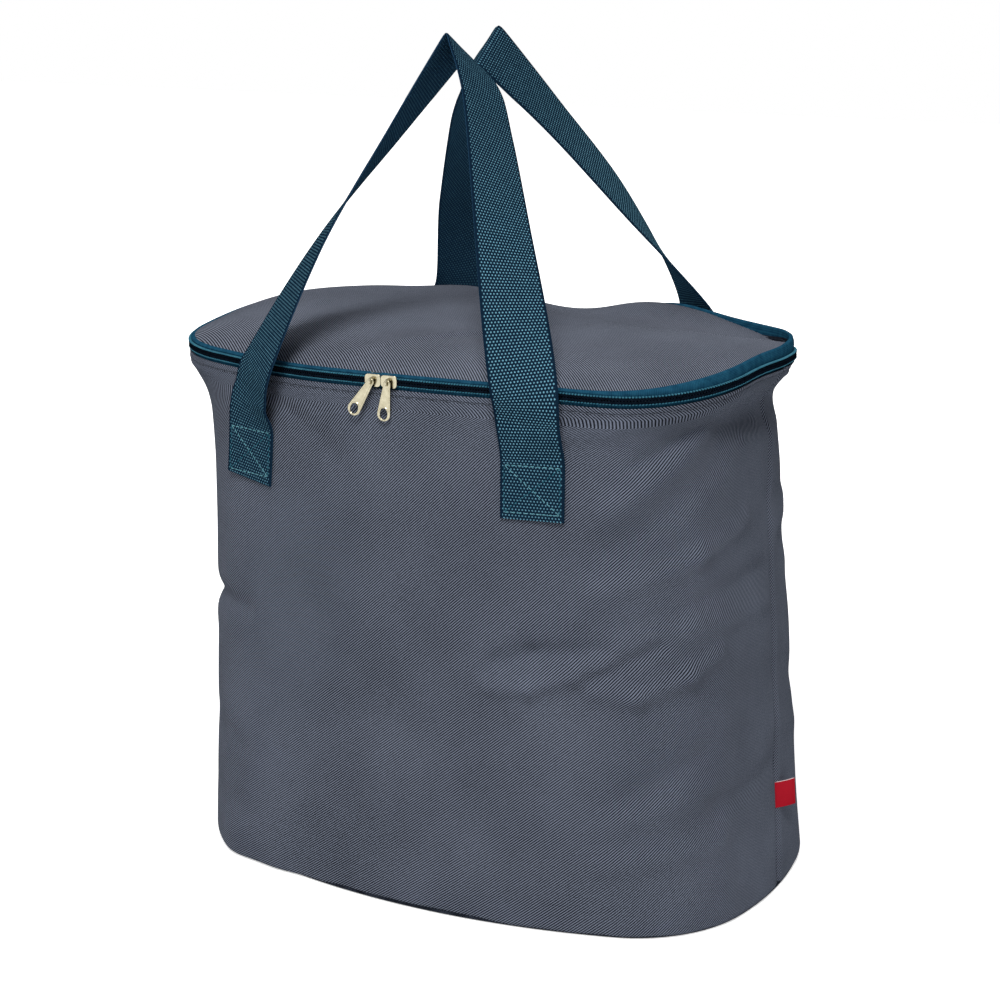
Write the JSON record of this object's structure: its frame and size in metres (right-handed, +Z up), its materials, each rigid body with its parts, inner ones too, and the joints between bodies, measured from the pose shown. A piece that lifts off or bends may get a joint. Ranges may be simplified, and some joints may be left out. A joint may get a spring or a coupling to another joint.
{
  "type": "cooler bag",
  "caption": "Soft insulated cooler bag with an oval body, a zipped lid hinged at the back, and webbing handles.",
  "frame": {"origin": "middle of the base's underside, on the floor", "axes": "+Z up; the front, where the sliders meet, faces -Y; +X is to the right seen from the front"},
  "size_m": [0.4432, 0.2768, 0.5778],
  "materials": {
    "body_twill": "matte woven twill",
    "lid_twill": "matte woven twill",
    "webbing": "woven webbing with light picks",
    "zip_tape": "matte woven tape",
    "zip_coil": "satin",
    "zip_metal": "satin nickel plate",
    "tag_cloth": "matte woven",
    "liner_film": "soft gloss film",
    "foam": "closed-cell foam",
    "binding_tape": "matte woven"
  },
  "bodies": {
    "bag": {"front_outer_panel": "body_twill", "back_outer_panel": "body_twill", "base_outer_panel": "body_twill", "lower_hinge_strip": "body_twill", "front_left_strap_end": "webbing", "front_right_strap_end": "webbing", "back_left_strap_end": "webbing", "back_right_strap_end": "webbing", "lower_zip_tape": "zip_tape", "lower_zip_coil": "zip_coil", "left_zip_stop": "zip_metal", "right_zip_stop": "zip_metal", "side_tag": "tag_cloth", "wall_liner": "liner_film", "base_liner": "liner_film", "front_foam": "foam", "back_foam": "foam", "base_foam": "foam", "rim_binding": "binding_tape"},
    "lid": {"lid_outer_panel": "lid_twill", "upper_zip_coil": "zip_coil", "upper_zip_tape": "zip_tape", "upper_hinge_strip": "lid_twill", "lid_foam": "foam", "lid_liner": "liner_film", "lid_binding": "binding_tape"},
    "left_slider": {"left_slider": "zip_metal"},
    "right_slider": {"right_slider": "zip_metal"},
    "left_pull": {"left_pull": "zip_metal"},
    "right_pull": {"right_pull": "zip_metal"},
    "front_handle": {"front_handle_loop": "webbing"},
    "back_handle": {"back_handle_loop": "webbing"}
  },
  "joints": [
    {"name": "lid_hinge", "type": "hinge", "parent": "bag", "child": "lid", "pos_m": [0, 0.1297, 0.3665], "axis": [-1, 0, 0], "range_deg": [0, 105]},
    {"name": "front_handle_fold", "type": "hinge", "parent": "bag", "child": "front_handle", "pos_m": [0, -0.1276, 0.32215], "axis": [1, 0, 0], "range_deg": [0, 174]},
    {"name": "back_handle_fold", "type": "hinge", "parent": "bag", "child": "back_handle", "pos_m": [0, 0.1276, 0.32215], "axis": [-1, 0, 0], "range_deg": [0, 169]},
    {"name": "left_slider_run", "type": "hinge", "parent": "bag", "child": "left_slider", "pos_m": [0, 0.3875, 0.3665], "axis": [0, 0, -1], "range_deg": [0, 6.4]},
    {"name": "right_slider_run", "type": "hinge", "parent": "bag", "child": "right_slider", "pos_m": [0, 0.3875, 0.3665], "axis": [0, 0, 1], "range_deg": [0, 7]},
    {"name": "left_pull_swing", "type": "hinge", "parent": "left_slider", "child": "left_pull", "pos_m": [-0.00619, -0.13576, 0.3665], "axis": [-0.9999, 0.0118, 0], "range_deg": [0, 150]},
    {"name": "right_pull_swing", "type": "hinge", "parent": "right_slider", "child": "right_pull", "pos_m": [0.00579, -0.13577, 0.3665], "axis": [-0.9999, -0.0111, 0], "range_deg": [0, 150]}
  ],
  "couplings": [
    {"joint": "front_handle_fold", "follows": "lid_hinge", "ratio": 1.65},
    {"joint": "back_handle_fold", "follows": "lid_hinge", "ratio": 1.6}
  ]
}
